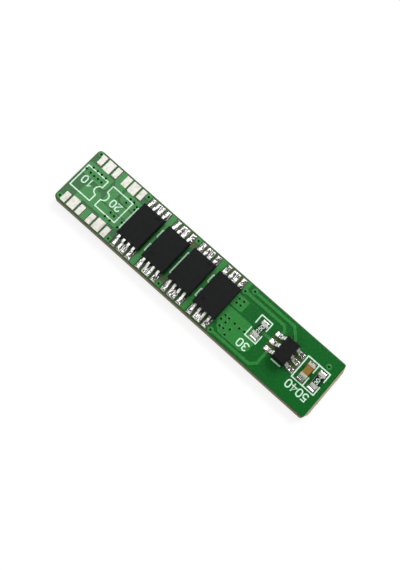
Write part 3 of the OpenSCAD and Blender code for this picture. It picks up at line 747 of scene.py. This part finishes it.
def collarTree(material):
    tree, size = newTree("viaCollars", {"Collar": None, "Flip": 0.0})
    start = size["Geometry"]
    points = start.node("GeometryNodeMeshToPoints", None, {0: start})
    part = start.node("GeometryNodeObjectInfo", None, {"Object": size["Collar"]}, "Geometry")
    turn = start.node("ShaderNodeCombineXYZ", None, {0: size["Flip"]})
    values = {0: points, "Instance": part, "Rotation": turn}
    endTree(tree, points.node("GeometryNodeInstanceOnPoints", None, values), material)
    return tree


def addCollars(name, places, height, flip, material):
    mesh = bpy.data.meshes.new(name + "Places")
    mesh.from_pydata([(p.x, p.y, height) for p in places], [], [])
    part = lathe(name + "Part", collarOutline(collar), collar["steps"])
    piece = grow(name, collarTree(material), {"Collar": part, "Flip": flip}, mesh)
    bpy.data.objects.remove(part)
    finishPiece(piece, "mask", Matrix.Scale(mm, 4))


viaPlaces = [(low + high)/2 for low, high in looseBoxes("via_barrels")]
padBoxes = looseBoxes("contact_pad_tin")


def inPad(place):
    return any(low.x < place.x < high.x and low.y < place.y < high.y for low, high in padBoxes)


addCollars("viaCollars", viaPlaces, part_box("top_mask")[1].z/mm, 0.0, surfaces["maskTop"])
underPlaces = [place for place in viaPlaces if not inPad(place)]
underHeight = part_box("bottom_mask")[0].z/mm
addCollars("viaCollarsUnder", underPlaces, underHeight, math.pi, surfaces["maskUnder"])
print("via collars:", len(viaPlaces), "above and", len(underPlaces), "below")


def bow(x, y, rx, ry, start, end):
    # points along part of an ellipse, from one angle to another in degrees
    steps = 12
    turns = [math.radians(start + (end - start)*k/steps) for k in range(steps + 1)]
    return [(x + rx*math.cos(turn), y + ry*math.sin(turn)) for turn in turns]


# each digit is one stroke in a cell of height 1 and width digitWidth
digitWidth = 0.6
digits = {
    "0": bow(0.3, 0.7, 0.3, 0.3, 0, 180) + bow(0.3, 0.3, 0.3, 0.3, 180, 360) + [(0.6, 0.7)],
    "1": [(0.08, 0.76), (0.34, 1), (0.34, 0)],
    "2": bow(0.3, 0.7, 0.3, 0.3, 170, -35) + [(0, 0), (0.62, 0)],
    "3": bow(0.28, 0.75, 0.28, 0.25, 150, -90) + bow(0.28, 0.25, 0.32, 0.25, 90, -150),
    "4": [(0.46, 0), (0.46, 1), (0, 0.3), (0.64, 0.3)],
    "5": [(0.56, 1), (0.08, 1), (0.05, 0.55)] + bow(0.28, 0.32, 0.32, 0.32, 115, -145),
}
boardText = {"tall": 0.97, "line": 0.155, "thick": 0.025, "gap": 0.28, "turn": 180}
chipText = {"tall": 0.46, "line": 0.07, "thick": 0.012, "gap": 0.26, "turn": 90}
inkRound = {"sides": 12, "rings": 8, "overhead": 5, "fall": 100}


def inkTree(material):
    # thickens strokes into raised lines with round corners and ends, laid on what is below
    tree, size = newTree("inkStrokes", {"Width": 0.155, "Thick": 0.025, "Ground": None})
    start = size["Geometry"]
    radius = size["Width"]/2
    path = start.node("GeometryNodeMeshToCurve", None, {0: start})
    values = {"Resolution": inkRound["sides"], "Radius": radius}
    ring = start.node("GeometryNodeCurvePrimitiveCircle", None, values)
    tube = start.node("GeometryNodeCurveToMesh", None, {0: path, 1: ring})
    values = {"Segments": inkRound["sides"], "Rings": inkRound["rings"], "Radius": radius}
    ball = start.node("GeometryNodeMeshUVSphere", None, values)
    knuckles = start.node("GeometryNodeInstanceOnPoints", None, {0: start, "Instance": ball})
    solid = start.node("GeometryNodeRealizeInstances", None, {0: join(tree, tube, knuckles)})

    # drops each point straight down to the ground and flattens the line there
    place = start.node("GeometryNodeInputPosition")
    ground = start.node("GeometryNodeObjectInfo", None, {"Object": size["Ground"]}, "Geometry")
    above = place.vector("MULTIPLY", {1: (1, 1, 0)}).vector("ADD", {1: (0, 0, inkRound["overhead"])})
    values = {
        "Target Geometry": ground, "Source Position": above.vector("SCALE", {"Scale": mm}),
        "Ray Direction": (0, 0, -1), "Ray Length": inkRound["fall"]*mm,
    }
    landed = start.node("GeometryNodeRaycast", None, values, "Hit Position").axis(2)/mm
    flat = place.axis(2)/size["Width"]*size["Thick"]*2 + landed
    lift = start.node("ShaderNodeCombineXYZ", None, {0: place.axis(0), 1: place.axis(1), 2: flat})
    laid = start.node("GeometryNodeSetPosition", None, {0: solid, "Position": lift})
    smooth = start.node("GeometryNodeSetShadeSmooth", None, {0: laid, "Shade Smooth": True})
    endTree(tree, smooth, material)
    return tree


inkStrokes = inkTree(surfaces["legendInk"])


def addNumber(name, text, centre, choice, ground, turn=0.0):
    # a plain number, its middle at centre, laid on the ground node
    points = []
    edges = []
    step = digitWidth + choice["gap"]
    for index, character in enumerate(text):
        for k, (u, v) in enumerate(digits[character]):
            if k:
                edges.append((len(points) - 1, len(points)))
            points.append(Vector((u + index*step, v, 0)))
    middle = Vector((step*(len(text) - 1) + digitWidth, 1, 0))/2
    turned = Matrix.Rotation(math.radians(choice["turn"] + turn), 4, "Z")
    placed = Matrix.Translation(centre) @ turned @ Matrix.Scale(choice["tall"] - choice["line"], 4)
    mesh = bpy.data.meshes.new(name + "Strokes")
    mesh.from_pydata([placed @ (point - middle) for point in points], edges, [])
    values = {"Width": choice["line"], "Thick": choice["thick"], "Ground": nodes[ground]}
    piece = grow(name, inkStrokes, values, mesh)
    finishPiece(piece, "legend", Matrix.Scale(mm, 4))


def middleOf(node):
    low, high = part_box(node)
    return Vector(((low.x + high.x)/2, (low.y + high.y)/2, 0))/mm


# a number's text, what it stands by, and how far it is from there
routedEnd = Vector((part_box("laminate")[0].x/mm, 0, 0))
boardNumbers = {
    "siteNumber1": ("10", routedEnd, (1.45, 0, 0)),
    "siteNumber2": ("20", routedEnd, (5.45, 0, 0)),
    "resistor2Number": ("30", middleOf("resistor_2_substrate"), (-0.31, -2.32, 0)),
    "capacitorNumber": ("40", middleOf("capacitor_body"), (-0.2, -2.13, 0)),
    "resistor1Number": ("50", middleOf("resistor_1_substrate"), (-0.22, -2.13, 0)),
}
for numberName, (text, anchor, offset) in boardNumbers.items():
    addNumber(numberName, text, anchor + Vector(offset), boardText, "top_mask")
# a value's text, the film it is printed on, and how crooked it is in degrees
chipNumbers = {
    "resistor1Value": ("304", "resistor_1_film", 2),
    "resistor2Value": ("250", "resistor_2_film", -6),
}
for numberName, (text, film, crooked) in chipNumbers.items():
    addNumber(numberName, text, middleOf(film), chipText, film, turn=crooked)
print("numbers: 5 on the board, 2 on the resistors")


# lean, in radians, and growth are the least and most that a fibre may have
fibres = {
    "density": 130.0, "length": 0.13, "thick": 0.012, "seed": 7, "sides": 5, "taper": 0.6,
    "lean": {"Min": (-0.7, 1.0, 0), "Max": (0.7, 2.1, 6.2)},
    "growth": {"Min": (0.6, 0.6, 0.35), "Max": (1.4, 1.4, 1.3)},
    "tall": 0.22, "inset": 0.06, "margin": 0.9,
}


def fibreTree(choice, material):
    inputs = {"Density": 60.0, "Length": 0.14, "Thick": 0.012, "Seed": 7}
    tree, size = newTree("glassFibres", inputs)
    start = size["Geometry"]
    values = {0: start, "Density": size["Density"], "Seed": size["Seed"]}
    points = start.node("GeometryNodeDistributePointsOnFaces", None, values)
    strand = start.node("GeometryNodeMeshCone", None, {
        "Vertices": choice["sides"], "Radius Top": size["Thick"]*choice["taper"],
        "Radius Bottom": size["Thick"], "Depth": size["Length"],
    })
    random = {"data_type": "FLOAT_VECTOR"}
    values = {**choice["lean"], "Seed": size["Seed"]}
    turn = start.node("FunctionNodeRandomValue", random, values)
    values = {**choice["growth"], "Seed": size["Seed"] + 1}
    grown = start.node("FunctionNodeRandomValue", random, values)
    values = {0: points, "Instance": strand, "Rotation": turn, "Scale": grown}
    endTree(tree, points.node("GeometryNodeInstanceOnPoints", None, values), material)
    return tree


def addFibres(choice):
    # fibres that stand out of the broken web, on an upright strip just inside it
    low, high = (corner/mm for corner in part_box("laminate"))
    x = high.x - choice["inset"]
    reach = high.y - choice["margin"]
    middle = (low.z + high.z)/2
    half = choice["tall"]/2
    mesh = bpy.data.meshes.new("brokenWeb")
    mesh.from_pydata([(x, u*reach, middle + v*half) for u, v in square], [], [(0, 1, 2, 3)])
    values = {"Density": choice["density"], "Length": choice["length"]}
    values.update({"Thick": choice["thick"], "Seed": choice["seed"]})
    piece = grow("webFibres", fibreTree(choice, surfaces["laminateEdge"]), values, mesh)
    finishPiece(piece, "laminate", Matrix.Scale(mm, 4))


addFibres(fibres)
print("fibres at the scored end")
